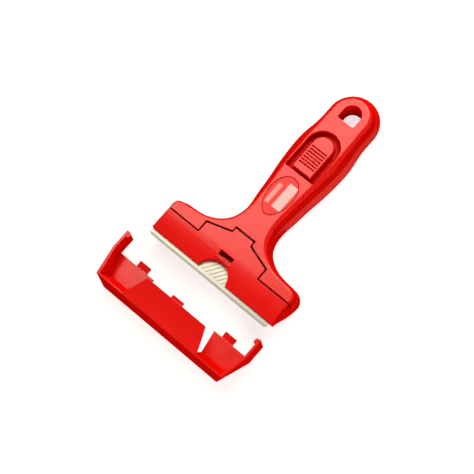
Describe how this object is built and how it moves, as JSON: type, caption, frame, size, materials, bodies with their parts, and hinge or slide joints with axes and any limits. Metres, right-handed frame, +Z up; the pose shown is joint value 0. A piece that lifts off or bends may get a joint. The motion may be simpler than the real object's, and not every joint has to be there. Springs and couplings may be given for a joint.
{
  "type": "wide blade scraper with push-on blade guard",
  "caption": "Wide hand scraper: T-shaped plastic handle with a hinged jaw that clamps a broad steel blade, a thumb lock slide, a hang hole and a push-on blade guard lying in front",
  "frame": {"origin": "On the flat back of the handle, in the middle of its narrow neck, where the tool lies on a table", "axes": "+X along the blade's edge, +Y from the blade to the hang hole, +Z up through the face of the handle"},
  "size_m": [0.1162, 0.2085, 0.0205],
  "materials": {
    "red_shell": "satin moulded red plastic",
    "red_guard": "glossy moulded red plastic",
    "red_button": "satin moulded red plastic with cross grooves",
    "bar_plastic": "natural uncoloured slippery plastic",
    "label_film": "blank pale film",
    "blade_steel": "rolled and ground carbon steel",
    "pin_steel": "drawn steel rod",
    "spring_steel": "spring steel"
  },
  "bodies": {
    "handle": {"handle_lower_shell": "red_shell", "handle_upper_shell": "red_shell", "handle_label": "label_film", "blade": "blade_steel", "clamp_hinge_pin": "pin_steel", "detent_spring": "spring_steel", "clamp_lift_spring": "spring_steel"},
    "lock": {"lock_button": "red_button", "lock_bar": "bar_plastic"},
    "clamp": {"clamp_plate": "red_shell"},
    "guard": {"blade_guard": "red_guard"}
  },
  "joints": [
    {"name": "lock", "type": "slide", "parent": "handle", "child": "lock", "axis": [0, 1, 0], "range_m": [0, 0.0035]},
    {"name": "clamp", "type": "hinge", "parent": "handle", "child": "clamp", "pos_m": [0, -0.0364, 0.0143], "axis": [-1, 0, 0], "range_deg": [0, 2]},
    {"name": "guard", "type": "slide", "parent": "handle", "child": "guard", "axis": [0.101, 0.9949, 0], "range_m": [0, 0.0396]}
  ],
  "couplings": [
    {"joint": "clamp", "follows": "lock", "rad_per_m": 9.95}
  ]
}
